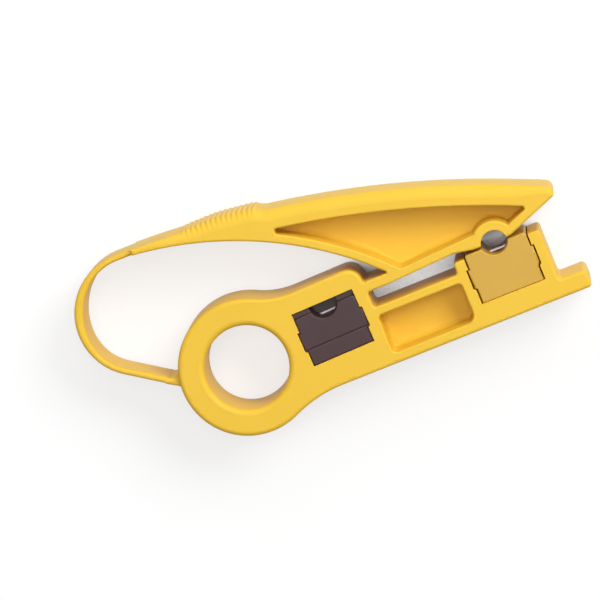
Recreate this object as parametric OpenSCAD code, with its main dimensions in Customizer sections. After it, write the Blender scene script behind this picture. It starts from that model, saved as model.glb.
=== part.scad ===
// Cable stripper: a one-piece plastic moulding with a finger ring, a sprung jaw arm and two blade cassettes.
// The origin is on the axis of the finger ring, halfway through the tool's thickness.
// +X runs along the body to its tongue, +Y towards the jaw arm, and +Z out of the broad face that shows.

/* [Moulding] */
// Thickness of the whole tool, face to face
tool_t = 19; // [16:0.5:24]
// Radius of the moulding's outer edges
edge_r = 0.6; // [0.3:0.05:0.65]
// Radius of the edges along the arm's back, where thumb and palm press
back_edge_r = 2; // [0.6:0.1:2.4]
// Thickness of the web left between the recesses of the two faces
web_t = 2.5; // [1.5:0.5:5]
// Mould draft of the recess walls, in degrees
draft = 2; // [0.5:0.5:3]

/* [Finger ring] */
// Radius of the finger hole
hole_r = 10.3; // [9:0.1:11]
// Thickness of the ring around the hole
ring_wall = 6.6; // [5:0.1:8]
// Rounding of the hole's two rims
hole_edge_r = 1.5; // [0.5:0.1:2]

/* [Frame] */
// Height of the base line above the ring's lowest point
base_rise = 4.3; // [3:0.1:6]
// Wall between the finger hole and the spare pocket
pocket_wall = 5; // [4:0.1:8]
// Wall between the spare pocket and the flex slot
slot_wall = 2.9; // [2:0.1:5]
// Length of the flex slot under the arm
slot_l = 21.8; // [18:0.1:30]
// Height of the flex slot
slot_h = 4.1; // [3:0.1:5]
// Thickness of the rail under the recess
rail_t = 2.6; // [2:0.1:4]
// Height of the recess in the frame
recess_h = 9.9; // [6:0.1:11]
// Thickness of the bar between recess and slot
bar_t = 2.2; // [1.6:0.1:3]
// Thickness of the post on the arm's side of the seat
inner_post = 2.85; // [2:0.05:4]
// Thickness of the post on the tongue's side of the seat
outer_post = 3.05; // [2:0.05:4]
// How far the posts stop below the top of the cassette
post_drop = 0.65; // [0.3:0.05:2]
// Thickness of the floor under the seat
seat_floor = 5.8; // [4:0.1:8]
// Length of the tongue past the outer post
tongue_l = 6.9; // [4:0.1:12]
// Height of the tongue
tongue_h = 4.5; // [3:0.1:8]
// Height of the stop hump above the neck
hump_h = 4.5; // [3.9:0.1:6]
// Radius of the stop hump
hump_r = 3.8; // [3:0.1:4]
// Slope of the deck between ring and hump, in degrees
deck_tilt = 1.2; // [0:0.1:2.5]
// Radius of the blend from the ring into the base line
base_blend_r = 32; // [20:1:40]
// Radius of the blend from the ring into the deck
deck_blend_r = 20; // [12:1:24]

/* [Neck] */
// Thickness of the flexing neck
neck_t = 2.6; // [1.8:0.1:3.2]
// Length of the flexing neck
neck_l = 4.1; // [3:0.1:6]

/* [Jaw arm] */
// Radius of the arm's back
back_r = 245; // [200:5:320]
// Height of the back's crown above the finger ring's axis
crown_y = 37.2; // [34:0.2:40]
// Radius of the arm's underside, from the loop to the neck
under_r = 92; // [80:1:120]
// Rise of the arm's underside along the slot
slot_rise = 0.95; // [0.4:0.05:1.4]
// Gap between the jaw's lip and the cassette
jaw_gap = 0.6; // [0.3:0.05:1.2]
// Slope of the lead-in under the arm's tip, in degrees
lead_angle = 20.9; // [15:0.1:23]
// How far the arm's tip stops short of the tongue's end
tip_short = 0.4; // [0:0.1:2]
// Radius of the jaw's cable groove
groove_r = 3.3; // [2.6:0.1:3.8]
// How far the groove's centre lies below the lip
groove_drop = 0.5; // [0.2:0.05:1]
// Rim between the recess and the arm's back
back_rim = 5; // [4:0.1:7]
// Rim between the recess and the arm's underside
under_rim = 2.2; // [1.6:0.1:3]
// Wall of the boss around the groove
boss_wall = 2.3; // [1.6:0.1:3]

/* [Thumb pad] */
// Where the pad starts, towards the loop
pad_start = -4; // [-8:0.5:0]
// Length of the pad
pad_l = 22.7; // [16:0.1:26]
// Height of the pad above the arm's back
pad_h = 0.85; // [0.4:0.05:1.2]
// Spacing of the ridges
ridge_pitch = 1.3; // [1:0.1:2]
// Height of the ridges
ridge_h = 0.3; // [0.15:0.05:0.4]

/* [Spring loop] */
// Distance of the loop's centre behind the ring's axis
loop_back = 20.3; // [19:0.1:22]
// Outer radius of the loop
loop_r = 15.2; // [14:0.1:16]
// Thickness of the loop at its middle
loop_mid_t = 2.3; // [1.8:0.1:3]
// Thickness of the loop at its lower end
loop_low_t = 1.55; // [1.3:0.05:2]
// Thickness of the loop where it meets the arm
loop_top_t = 1.4; // [1.3:0.05:2]
// Width of the loop across the tool
loop_w = 14.8; // [12:0.2:16]
// Direction in which the loop leaves its circle, as an angle on the circle
loop_leave = 236; // [228:1:240]

/* [Cassettes] */
// Width of a cassette
cas_w = 15.8; // [14:0.1:18]
// Height of a cassette
cas_h = 12.4; // [11:0.1:14]
// Height of the cassette's base
cas_base_h = 4.35; // [3.6:0.05:5]
// How far the cassette's faces lie under the tool's faces
cas_sink = 0.2; // [0:0.1:1]
// Height of the side lugs' tops above the cassette's bottom
lug_top = 8.7; // [7:0.1:9]
// How far the side lugs stand out
lug_out = 0.55; // [0.3:0.05:0.8]
// Radius of the cable groove in a cassette
cas_groove_r = 3.5; // [3.2:0.1:4]
// Depth of the cable groove in a cassette
cas_groove_d = 2.5; // [2:0.1:3]
// Side clearance of the active cassette in its seat
seat_clear = 0.35; // [0.1:0.05:0.5]
// Side clearance of the spare cassette in its pocket
pocket_clear = 0.1; // [0.05:0.05:0.4]
// Height of the spare pocket
pocket_h = 13.8; // [13:0.1:16]
// Thickness of the floor under the spare pocket
pocket_floor = 7; // [5:0.1:8]
// Slope of the spare pocket, in degrees
pocket_tilt = 1.5; // [0:0.1:3]

/* [Blades] */
// Length of a blade
blade_l = 11; // [9:0.1:13]
// Thickness of a blade
blade_t = 0.3; // [0.2:0.05:0.6]
// How far the edge stands above the bottom of the groove
blade_out = 0.8; // [0.3:0.05:1.2]
// Depth of the blade behind the tool's face
blade_depth = 6.9; // [3:0.1:14]
// Height of the ground bevel
bevel_h = 0.4; // [0.3:0.05:2]

/* [Hidden] */

moulding_colour = "#F2C53D";
blade_cassette_colour = "#DDB848";
spare_cassette_colour = "#4E3A3C";
steel_colour = "#C9CBD0";

// Largest distance between an arc and its chords
chord_tol = 0.02;
// Steps in a quarter of a rounded edge
edge_steps = 3;
// Gap that lets flat faces slide past each other
slide_gap = 0.05;
// How far a cutting solid runs past what it cuts
past = 1;
// Length by which pieces of the moulding run past a seam before they are cut there
seam_over = 2;

half_t = tool_t / 2;
ring_r = hole_r + ring_wall;

// Heights, from the base line upwards
base_y = base_rise - ring_r;
recess_y = base_y + rail_t;
slot_y = recess_y + recess_h + bar_t;
neck_y = slot_y + slot_h;
notch_y = neck_y + neck_t;
hump_y = notch_y + hump_h;
seat_y = base_y + seat_floor;
cas_top_y = seat_y + slide_gap + cas_h;
post_y = cas_top_y - post_drop;
tongue_y = base_y + tongue_h;

// Places along the body, from the ring outwards
pocket_w = cas_w + 2 * pocket_clear;
seat_w = cas_w + 2 * seat_clear;
pocket_x = hole_r + pocket_wall + pocket_w / 2;
pocket_y = base_y + pocket_floor;
slot_x = hole_r + pocket_wall + pocket_w + slot_wall;
slot_end = slot_x + slot_l;
seat_x = slot_end + inner_post + seat_w / 2;
post_end = slot_end + inner_post + seat_w + outer_post;
body_end = post_end + tongue_l;

// The neck lies just inside the left end of the slot, and the jaw turns about its middle
neck_start = slot_x + 0.8;
neck_end = neck_start + neck_l;
pivot = [(neck_start + neck_end) / 2, (neck_y + notch_y) / 2];
notch_end = neck_end + 1.5;

// The arm
lip_y = cas_top_y + jaw_gap;
groove = [seat_x, lip_y - groove_drop];
crown = [-loop_back, crown_y];
back_c = [crown[0], crown[1] - back_r];
arm_rear = crown[0] + 4.8;
tip_x = body_end - tip_short;
lip_l = 5.3;
lip_r = 4.4;
ridges = floor((pad_l - 5) / ridge_pitch);
first_ridge = pad_start + pad_l - 2.2;
ridge_xs = [for (i = [0:2 * ridges]) first_ridge - i * ridge_pitch / 2];
under_c = centre_through([arm_rear, back_at(arm_rear) - loop_top_t], [notch_end, notch_y], under_r);

// The loop
loop_c = [-loop_back, crown_y - loop_r];
loop_mid_angle = 160;
leave_dir = dir(loop_leave + 90);
leave_point = loop_c + (loop_r - loop_low_t / 2) * dir(loop_leave);
strap_run = run_to_ring(leave_point, leave_dir, ring_r);
strap_root = 3.2;
strap_seam = strap_run - strap_root;

// Cassette details
cas_t = tool_t - 2 * cas_sink;
lug_chamfer = 0.65;
groove_up = cas_groove_r - cas_groove_d;
blade_z = half_t - blade_depth;
edge_y = cas_h - cas_groove_d + blade_out;

// A unit vector at an angle
function dir(a) = [cos(a), sin(a)];
function unit(v) = v / norm(v);
function angle(v) = atan2(v[1], v[0]);

// Points on an arc about c, from angle a0 to a1
function arc(c, r, a0, a1) =
    let (step = 2 * acos(1 - min(chord_tol / r, 0.04)), n = max(1, ceil(abs(a1 - a0) / step)))
    [for (i = [0:n]) c + r * dir(a0 + (a1 - a0) * i / n)];

// The same, by the shorter way round
function short_arc(c, r, a0, a1) = arc(c, r, a0, a0 + (a1 - a0 + 540) % 360 - 180);

// The corner p between points a and b, rounded to radius r
function corner(a, p, b, r) =
    r == 0 ? [p] :
    let (u = unit(a - p), v = unit(b - p), half = acos(u * v) / 2,
         c = p + unit(u + v) * r / sin(half), reach = r / tan(half),
         a0 = angle(p + u * reach - c), a1 = angle(p + v * reach - c))
    short_arc(c, r, a0, a1);

function xy(p) = [p[0], p[1]];

// A closed outline through points [x, y, r], with each corner rounded to its r
function rounded(p) =
    let (n = len(p))
    [for (i = [0:n - 1]) each corner(xy(p[(i + n - 1) % n]), xy(p[i]), xy(p[(i + 1) % n]), p[i][2])];

// Points for rounded() that stay as they are
function plain(p) = [for (q = p) [q[0], q[1], 0]];

// A closed outline without points that repeat
function tidy(p) =
    let (n = len(p))
    [for (i = [0:n - 1]) if (norm(p[i] - p[(i + 1) % n]) > 0.01) p[i]];

// The outline p moved inwards by d, with p running anticlockwise. d is one distance, or one for each point
function inset(p, d) =
    let (n = len(p))
    [for (i = [0:n - 1])
        let (e = unit(p[i] - p[(i + n - 1) % n]), f = unit(p[(i + 1) % n] - p[i]),
             m = [-e[1], e[0]], k = [-f[1], f[0]])
        p[i] + (is_list(d) ? d[i] : d) * (m + k) / (1 + m * k)];

// The outline p at height z, which is one height or one for each point
function level(p, z) = [for (i = [0:len(p) - 1]) [p[i][0], p[i][1], is_list(z) ? z[i] : z]];

// Centre of the circle of radius r through p and q, on the right of the way from p to q
function centre_through(p, q, r) =
    let (m = (p + q) / 2, d = q - p, h = sqrt(r * r - d * d / 4), u = unit(d))
    m + h * [u[1], -u[0]];

// Where the line from p along d meets the circle (c, r), first or second of the two
function line_circle(p, d, c, r, second = false) =
    let (q = p - c, b = q * d, s = sqrt(b * b - q * q + r * r))
    p + (second ? s - b : -s - b) * d;

// How far it is from p along d to the finger ring
function run_to_ring(p, d, r) = norm(line_circle(p, d, [0, 0], r) - p);

// Centre of a blend of radius r that touches the ring and the line through p along d, with n to its outside
function blend_centre(p, d, n, r) =
    let (q = p + n * r, b = q * d)
    q + (sqrt(b * b - q * q + (ring_r + r) * (ring_r + r)) - b) * d;

// Height of the arm's back at x, without the pad
function back_at(x, r = back_r) = back_c[1] + sqrt(r * r - (x - back_c[0]) * (x - back_c[0]));

function smooth(t) = let (s = min(max(t, 0), 1)) s * s * (3 - 2 * s);

// Height of the pad above the back at x: a long rise from the loop's side and a short fall to the jaw's side
function pad_at(x) = pad_h * smooth((x - pad_start) / 12) * smooth((pad_start + pad_l - x) / 3.5);

// Triangles that fill the outline p, found by cutting off its ears
function ears(p, left) =
    len(left) < 4 ? [left] :
    let (n = len(left), k = ear_at(p, left, 0), tip = (k + 1) % n)
    concat([[left[k], left[tip], left[(k + 2) % n]]], ears(p, [for (i = [0:n - 1]) if (i != tip) left[i]]));

function ear_at(p, left, k) =
    let (n = len(left), a = p[left[k]], b = p[left[(k + 1) % n]], c = p[left[(k + 2) % n]])
    k >= n - 1 || (turn(a, b, c) > 1e-7 && !any_inside(p, left, k, a, b, c)) ? min(k, n - 1) :
    ear_at(p, left, k + 1);

function turn(a, b, c) = cross(b - a, c - b);

function any_inside(p, left, k, a, b, c) =
    let (n = len(left),
         hits = [for (j = [3:n - 1])
             let (q = p[left[(k + j) % n]])
             if (turn(a, b, q) >= 0 && turn(b, c, q) >= 0 && turn(c, a, q) >= 0) 1])
    len(hits) > 0;

// A solid through layers of points, all with as many points as the first, which gives the caps
module skin(layers) {
    n = len(layers[0]);
    last = len(layers) - 1;
    caps = ears([for (q = layers[0]) xy(q)], [for (i = [0:n - 1]) i]);
    polyhedron(
        points = [for (l = layers) each l],
        faces = concat(
            caps,
            [for (t = caps) [t[2] + last * n, t[1] + last * n, t[0] + last * n]],
            [for (k = [0:last - 1], i = [0:n - 1]) [k * n + i, (k + 1) * n + i, (k + 1) * n + (i + 1) % n]],
            [for (k = [0:last - 1], i = [0:n - 1]) [k * n + i, (k + 1) * n + (i + 1) % n, k * n + (i + 1) % n]]));
}

// A plate of the given outline, centred on the mid-plane, with both its outer edges rounded.
// r is the edges' radius and proud is how far the wall stands out, each one value or one for each point
module plate(outline, half, r, proud = 0) {
    rs = [for (i = [0:len(outline) - 1]) is_list(r) ? r[i] : r];
    out = [for (i = [0:len(outline) - 1]) is_list(proud) ? proud[i] : proud];
    up = [for (i = [0:edge_steps])
        let (a = 90 * i / edge_steps)
        level(inset(outline, rs * (1 - cos(a)) - out * cos(a)), [for (q = rs) half - q * (1 - sin(a))])];
    down = [for (i = [edge_steps:-1:0]) [for (q = up[i]) [q[0], q[1], -q[2]]]];
    skin(concat(down, up));
}

// A recess cut into both faces, with drafted walls and a rounded floor edge
module recesses(outline, floor_r) {
    floor_z = web_t / 2;
    lean = tan(draft);
    walls = concat(
        [for (i = [edge_steps:-1:0])
            let (a = 90 * i / edge_steps, z = floor_z + floor_r * (1 - sin(a)))
            level(inset(outline, (half_t - z) * lean + floor_r * (1 - cos(a))), z)],
        [level(inset(outline, -past * lean), half_t + past)]);
    steps = floor_r > 0 ? walls : [walls[0], walls[edge_steps + 1]];
    for (side = [0, 1])
        mirror([0, 0, side]) skin(steps);
}

// Outline of the frame, from the blend under the ring and round by the tongue, posts, slot, neck and hump
function frame_outline() =
    let (deck = dir(deck_tilt), up = [-deck[1], deck[0]], hump = [slot_x - 0.2, hump_y],
         low_c = blend_centre([0, base_y], [1, 0], [0, -1], base_blend_r),
         high_c = blend_centre(hump, deck, up, deck_blend_r),
         over = neck_start + seam_over)
    tidy(rounded(concat(
        plain(arc(low_c, base_blend_r, angle(-low_c), 90)),
        [
            [body_end, base_y, 1],
            [body_end, tongue_y, 1.2],
            [post_end, tongue_y, 0.8],
            [post_end, post_y, 0.8],
            [slot_end, post_y, 0.8],
            [slot_end, slot_y, 0.8],
            [slot_x, slot_y, 0.9],
            [slot_x, neck_y, 0.7],
            [over, neck_y, 0],
            [over, notch_y, 0],
            [hump[0], notch_y, 0.6],
            [hump[0], hump[1], hump_r]],
        plain(arc(high_c, deck_blend_r, angle(-up), angle(-high_c))),
        plain(arc([0, 0], ring_r, angle(high_c), angle(low_c) + 360)))));

// Outline of the arm, from the neck along the slot, round the tip and back along the thumb pad
function arm_outline() =
    let (over = neck_end - seam_over,
         lead_y = lip_y + (tip_x - seat_x - lip_r) * tan(lead_angle),
         pad_end = pad_start + pad_l,
         tip_a = angle([tip_x - 3, back_at(tip_x - 3)] - back_c),
         pad_a = angle([pad_end, back_at(pad_end)] - back_c),
         start_a = angle([pad_start, back_at(pad_start)] - back_c),
         rear_a = angle([arm_rear, back_at(arm_rear)] - back_c),
         rear = [arm_rear, back_at(arm_rear) - loop_top_t],
         corner_p = [notch_end, notch_y],
         under = arc(under_c, under_r, angle(rear - under_c), angle(corner_p - under_c)))
    tidy(rounded(concat(
        [
            [over, neck_y, 0],
            [neck_end, neck_y, 0],
            [slot_end + 1, neck_y + slot_rise, 6],
            [seat_x - lip_l, lip_y, 2],
            [seat_x + lip_r, lip_y, 2],
            [tip_x, lead_y, 0.9],
            [tip_x, back_at(tip_x), 1.9]],
        plain(arc(back_c, back_r, tip_a, pad_a)),
        [for (x = [first_ridge + 0.8, each ridge_xs]) [x, back_at(x) + pad_at(x), 0]],
        plain(arc(back_c, back_r, start_a, rear_a)),
        plain([for (i = [0:len(under) - 2]) under[i]]),
        [[corner_p[0], corner_p[1], 0.7], [over, notch_y, 0]])));

// How far a ridge of the thumb pad stands out at the outline's point q
function ridge_at(q) =
    let (k = (first_ridge - q[0]) * 2 / ridge_pitch, i = round(k), on_pad = q[1] > back_at(q[0]) - 0.1)
    on_pad && i > 0 && i < 2 * ridges && abs(k - i) < 0.02 && i % 2 == 1 ? ridge_h : 0;

// Rounding of the arm's edges at the outline's point q: full along the back, less at the thin tail and the tip
function arm_edge(q) =
    let (on_back = smooth((q[1] - back_at(q[0]) + 2.2) / 2),
         tail = smooth((q[0] - arm_rear) / 22),
         tip = smooth((tip_x - q[0]) / 9))
    edge_r + (back_edge_r - edge_r) * on_back * tail * (0.45 + 0.55 * tip);

// Outline of the arm's recess: between the back, the underside, the boss round the groove and the lead-in
function arm_recess_outline() =
    let (slot_dir = unit([slot_end + 1 - neck_end, slot_rise]),
         floor_p = [neck_end, neck_y] + under_rim * [-slot_dir[1], slot_dir[0]],
         low_r = under_r + under_rim,
         high_r = back_r - back_rim,
         boss_r = groove_r + boss_wall,
         lead = dir(lead_angle),
         lead_p = [seat_x + lip_r, lip_y] + boss_wall * [-lead[1], lead[0]],
         turn_p = line_circle(floor_p, slot_dir, under_c, low_r, true),
         boss_l = line_circle(floor_p, slot_dir, groove, boss_r),
         boss_e = line_circle(lead_p - 8 * lead, lead, groove, boss_r, true),
         tip_p = line_circle(lead_p, lead, back_c, high_r, true),
         end_x = under_c[0] + 43.8,
         end_low = [end_x, under_c[1] + sqrt(low_r * low_r - (end_x - under_c[0]) * (end_x - under_c[0]))],
         end_high = [end_x, back_at(end_x, high_r)],
         before = arc(under_c, low_r, angle(end_low - under_c), angle(turn_p - under_c)),
         after = arc(back_c, high_r, angle(tip_p - back_c), angle(end_high - back_c)))
    tidy(rounded(concat(
        [[end_low[0], end_low[1], 0.45]],
        plain([for (i = [1:len(before) - 2]) before[i]]),
        [[turn_p[0], turn_p[1], 1.2]],
        plain(arc(groove, boss_r, angle(boss_l - groove), angle(boss_e - groove))),
        [[tip_p[0], tip_p[1], 0.6]],
        plain([for (i = [1:len(after) - 2]) after[i]]),
        [[end_high[0], end_high[1], 0.45]])));

// Thickness of the loop at an angle on its circle
function loop_t_at(a) =
    a < loop_mid_angle ? loop_top_t + (loop_mid_t - loop_top_t) * smooth((a - 85) / (loop_mid_angle - 85)) :
    loop_mid_t + (loop_low_t - loop_mid_t) * smooth((a - loop_mid_angle) / 65);

// Outline of the loop, with a strap to the arm at its top and one to the ring at its foot
function loop_outline(foot) =
    let (n = 28, side = dir(loop_leave) * loop_low_t / 2,
         foot_p = leave_point + foot * leave_dir,
         angles = [for (i = [0:n]) 90 + (loop_leave - 90) * i / n],
         rear_a = angle([arm_rear, back_at(arm_rear)] - back_c))
    tidy(concat(
        arc(back_c, back_r, rear_a, 90),
        [for (a = angles) loop_c + loop_r * dir(a)],
        [foot_p + side, foot_p - side],
        [for (i = [n:-1:0]) let (a = angles[i]) loop_c + (loop_r - loop_t_at(a)) * dir(a)],
        [[arm_rear, back_at(arm_rear) - loop_top_t]]));

// The short root with which the loop's strap runs into the ring, with a fillet on each side
module strap_root_piece() {
    inner_r = ring_r - 0.2;
    fillet_r = 2;
    side = dir(loop_leave);
    start = leave_point + (strap_seam - seam_over) * leave_dir;
    half = side * loop_low_t / 2;
    fillets = [for (n = [-side, side])
        line_circle(leave_point + n * (loop_low_t / 2 + fillet_r), leave_dir, [0, 0], inner_r + fillet_r)];
    linear_extrude(loop_w, center = true)
        polygon(concat(
            [start - half, start + half],
            short_arc(fillets[1], fillet_r, angle(-side), angle(-fillets[1])),
            [for (f = [fillets[1], fillets[0]]) (ring_r - 3) * unit(f)],
            short_arc(fillets[0], fillet_r, angle(-fillets[0]), angle(side))));
}

// Outline of what a cassette slides in: the cassette's own outline with a clearance at its sides
function channel_outline(clear, height) =
    let (w = cas_w / 2 + clear, g = w + lug_out, low = cas_base_h + slide_gap - lug_chamfer)
    [[w, 0], [w, low - 0.15], [g, low + lug_out - 0.15], [g, lug_top + 0.25], [w, lug_top + 0.25], [w, height],
     [-w, height], [-w, lug_top + 0.25], [-g, lug_top + 0.25], [-g, low + lug_out - 0.15], [-w, low - 0.15], [-w, 0]];

// Places its children at the seat, or at the tilted spare pocket, with y up from the floor there
module at_seat() { translate([seat_x, seat_y, 0]) children(); }
module at_pocket() { translate([pocket_x, pocket_y, 0]) rotate(pocket_tilt) children(); }

// Cuts away what lies past the seam through p, on the side that d points to
module seam_cut(p, d) {
    translate([p[0], p[1], 0]) rotate(angle(d))
        translate([0, -3, -half_t - past]) cube([3, 6, tool_t + 2 * past]);
}

// Rounds the rims of the finger hole
module hole_rims() {
    for (side = [0, 1])
        mirror([0, 0, side])
            rotate_extrude($fn = 96)
                difference() {
                    translate([hole_r - 0.5, half_t - hole_edge_r]) square([hole_edge_r + 0.5, hole_edge_r + past]);
                    translate([hole_r + hole_edge_r, half_t - hole_edge_r]) circle(r = hole_edge_r, $fn = 64);
                }
}

module frame() {
    color(moulding_colour)
    difference() {
        union() {
            plate(frame_outline(), half_t, edge_r);
            strap_root_piece();
        }
        translate([0, 0, -half_t - past]) cylinder(r = hole_r, h = tool_t + 2 * past, $fn = 96);
        hole_rims();
        at_pocket() linear_extrude(tool_t + 2 * past, center = true)
            polygon(channel_outline(pocket_clear, pocket_h));
        at_seat() linear_extrude(tool_t + 2 * past, center = true)
            polygon(channel_outline(seat_clear, cas_h + past));
        recesses(rounded_box(slot_x + 0.2, recess_y, slot_end, recess_y + recess_h), 0.5);
        seam_cut([neck_start, pivot[1]], [1, 0]);
        seam_cut(leave_point + strap_seam * leave_dir, -leave_dir);
    }
}

// Outline of the frame's recess, whose lower corner by the seat is the roundest
function rounded_box(x0, y0, x1, y1) =
    tidy(rounded([[x0, y0, 1.4], [x1, y0, 2.2], [x1, y1, 1], [x0, y1, 1]]));

module hinge_web() {
    color(moulding_colour)
    difference() {
        plate([[neck_start - seam_over, neck_y], [neck_end + seam_over, neck_y],
               [neck_end + seam_over, notch_y], [neck_start - seam_over, notch_y]], half_t, edge_r);
        seam_cut([neck_start, pivot[1]], [-1, 0]);
        seam_cut([neck_end, pivot[1]], [1, 0]);
    }
}

module jaw_arm() {
    outline = arm_outline();
    color(moulding_colour)
    difference() {
        plate(outline, half_t, [for (q = outline) arm_edge(q)], [for (q = outline) ridge_at(q)]);
        recesses(arm_recess_outline(), 0);
        translate([groove[0], groove[1], -half_t - past]) cylinder(r = groove_r, h = tool_t + 2 * past, $fn = 96);
        seam_cut([neck_end, pivot[1]], [-1, 0]);
    }
}

module spring_loop() {
    color(moulding_colour)
    difference() {
        plate(loop_outline(strap_seam + seam_over), loop_w / 2, loop_top_t / 4);
        seam_cut(leave_point + strap_seam * leave_dir, leave_dir);
    }
}

// The upper part of a cassette, with the cable groove, the side lugs and the slot that holds the blade
module cassette_block() {
    w = cas_w / 2;
    c = 0.4;
    difference() {
        linear_extrude(cas_t, center = true)
            polygon([[-w - lug_out, cas_base_h], [w + lug_out, cas_base_h], [w + lug_out, lug_top], [w, lug_top],
                     [w, cas_h - c], [w - c, cas_h], [c - w, cas_h], [-w, cas_h - c], [-w, lug_top],
                     [-w - lug_out, lug_top]]);
        translate([0, cas_h + groove_up, -half_t - past])
            cylinder(r = cas_groove_r, h = tool_t + 2 * past, $fn = 96);
        translate([-blade_l / 2 - slide_gap, cas_base_h - past, blade_z - blade_t / 2 - slide_gap])
            cube([blade_l + 2 * slide_gap, edge_y + slide_gap - cas_base_h + past, blade_t + 2 * slide_gap]);
    }
}

// The base that closes a cassette under its blade
module cassette_base() {
    w = cas_w / 2;
    low = cas_base_h - lug_chamfer;
    linear_extrude(cas_t, center = true)
        polygon([[-w, 0], [w, 0], [w, low], [w + lug_out, low + lug_out], [w + lug_out, cas_base_h],
                 [-w - lug_out, cas_base_h], [-w - lug_out, low + lug_out], [-w, low]]);
}

// A flat blade that stands on the base, with its upper edge ground from both sides
module cassette_blade() {
    t = blade_t / 2;
    translate([-blade_l / 2, 0, blade_z])
        rotate([90, 0, 90])
            linear_extrude(blade_l)
                polygon([[cas_base_h, -t], [edge_y - bevel_h, -t], [edge_y, -t / 5], [edge_y, t / 5],
                         [edge_y - bevel_h, t], [cas_base_h, t]]);
}

module lift() { translate([0, slide_gap, 0]) children(); }

module blade_cassette_block() { color(blade_cassette_colour) at_seat() lift() cassette_block(); }
module blade_cassette_base() { color(blade_cassette_colour) at_seat() lift() cassette_base(); }
module blade_cassette_blade() { color(steel_colour) at_seat() lift() cassette_blade(); }
module spare_cassette_block() { color(spare_cassette_colour) at_pocket() lift() cassette_block(); }
module spare_cassette_base() { color(spare_cassette_colour) at_pocket() lift() cassette_base(); }
module spare_cassette_blade() { color(steel_colour) at_pocket() lift() cassette_blade(); }

frame();
hinge_web();
jaw_arm();
spring_loop();
blade_cassette_block();
blade_cassette_base();
blade_cassette_blade();
spare_cassette_block();
spare_cassette_base();
spare_cassette_blade();
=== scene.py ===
"""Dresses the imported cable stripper: a satin yellow moulding, two blade cassettes and their ground blades."""

import math
from types import SimpleNamespace

import bmesh
import bpy
import numpy as np
from bpy.props import FloatProperty, FloatVectorProperty, IntProperty, PointerProperty, StringProperty
from mathutils import Matrix, Vector
from mathutils.geometry import delaunay_2d_cdt


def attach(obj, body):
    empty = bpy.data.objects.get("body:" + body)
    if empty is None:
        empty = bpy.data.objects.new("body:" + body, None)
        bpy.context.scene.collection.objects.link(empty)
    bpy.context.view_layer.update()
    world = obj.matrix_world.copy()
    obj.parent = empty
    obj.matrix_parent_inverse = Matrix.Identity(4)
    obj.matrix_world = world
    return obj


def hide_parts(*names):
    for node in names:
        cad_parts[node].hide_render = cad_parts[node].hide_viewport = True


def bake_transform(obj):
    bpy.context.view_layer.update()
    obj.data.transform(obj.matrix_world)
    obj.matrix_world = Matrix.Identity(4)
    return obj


bl_info = {
    "name": "Cable stripper",
    "version": (1, 0, 0),
    "blender": (4, 5, 0),
    "location": "View3D > Sidebar > Stripper",
    "description": "Models a one-piece cable stripper with its blade cassettes, in satin plastic",
    "category": "Add Mesh",
}

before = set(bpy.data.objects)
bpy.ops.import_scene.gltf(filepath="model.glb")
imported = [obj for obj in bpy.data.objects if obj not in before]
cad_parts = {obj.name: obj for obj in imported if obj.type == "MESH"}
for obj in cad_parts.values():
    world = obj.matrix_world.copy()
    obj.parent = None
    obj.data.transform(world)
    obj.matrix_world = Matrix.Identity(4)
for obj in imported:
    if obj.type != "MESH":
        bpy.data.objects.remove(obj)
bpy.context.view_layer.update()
MM = 0.001
FLAT_MARGIN = 0.03 * MM  # one more row inside a rounded edge keeps the shading of the face beside it flat
SAME = 1e-8  # places closer than this are the same


def length(name, default, description):
    """A size in millimetres as a property in Blender's own metres."""
    return FloatProperty(name=name, default=default * MM, description=description, min=0.0,
                         subtype="DISTANCE", unit="LENGTH")


def lengths(name, defaults, description):
    """Several sizes in millimetres as one property in metres."""
    return FloatVectorProperty(name=name, default=[d * MM for d in defaults], size=len(defaults),
                               description=description, min=0.0, subtype="NONE", unit="LENGTH")


def place(name, default, description):
    """A signed coordinate in millimetres as a property in metres."""
    return FloatProperty(name=name, default=default * MM, description=description,
                         subtype="DISTANCE", unit="LENGTH")


def turn(name, default, description):
    """An angle in degrees as a property in radians."""
    return FloatProperty(name=name, default=math.radians(default), description=description,
                         subtype="ANGLE", unit="ROTATION")


def share(name, default, description):
    """A plain number, such as a share of a whole."""
    return FloatProperty(name=name, default=default, description=description)


def count(name, default, description):
    """A whole number of steps."""
    return IntProperty(name=name, default=default, description=description, min=1)


def paint(name, default, description):
    """An sRGB colour as a hex value, such as F2C53D."""
    return StringProperty(name=name, default=default, description=description)


class MouldingSizes(bpy.types.PropertyGroup):
    """What all parts of the moulding share."""

    thickness: length("Thickness", 19.0, "Thickness of the tool from face to face")
    edge: length("Edge radius", 0.8, "Rounding of the outer edges")
    thin_edge: length("Thin edge radius", 0.6, "The same where bars and posts are thin")
    back_edge: length("Back edge radius", 3.0, "Rounding of the edges along the arm's back")
    web: length("Web", 2.5, "Wall left between the recesses of the two faces")
    draft: turn("Draft", 2.0, "Mould draft of the recess walls")
    crisp: length("Crisp edge", 0.12, "Rounding of the edges where a core pin shuts off")
    recess_lip: length("Recess lip", 0.5, "Rounding of the frame recess's rim")
    edge_steps: count("Edge steps", 7, "Steps round a quarter of an edge")


class RingSizes(bpy.types.PropertyGroup):
    """The finger ring."""

    hole: length("Hole radius", 10.3, "Radius of the finger hole")
    wall: length("Wall", 6.6, "Thickness of the ring around the hole")
    edge: length("Hole rim", 1.5, "Rounding of the hole's rims")
    outer_edge: length("Outer rim", 1.2, "Rounding of the ring's outer edge")
    rim_fade: length("Rim fade", 14.0, "Over what length the outer rim goes over into the body's edge")


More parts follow.
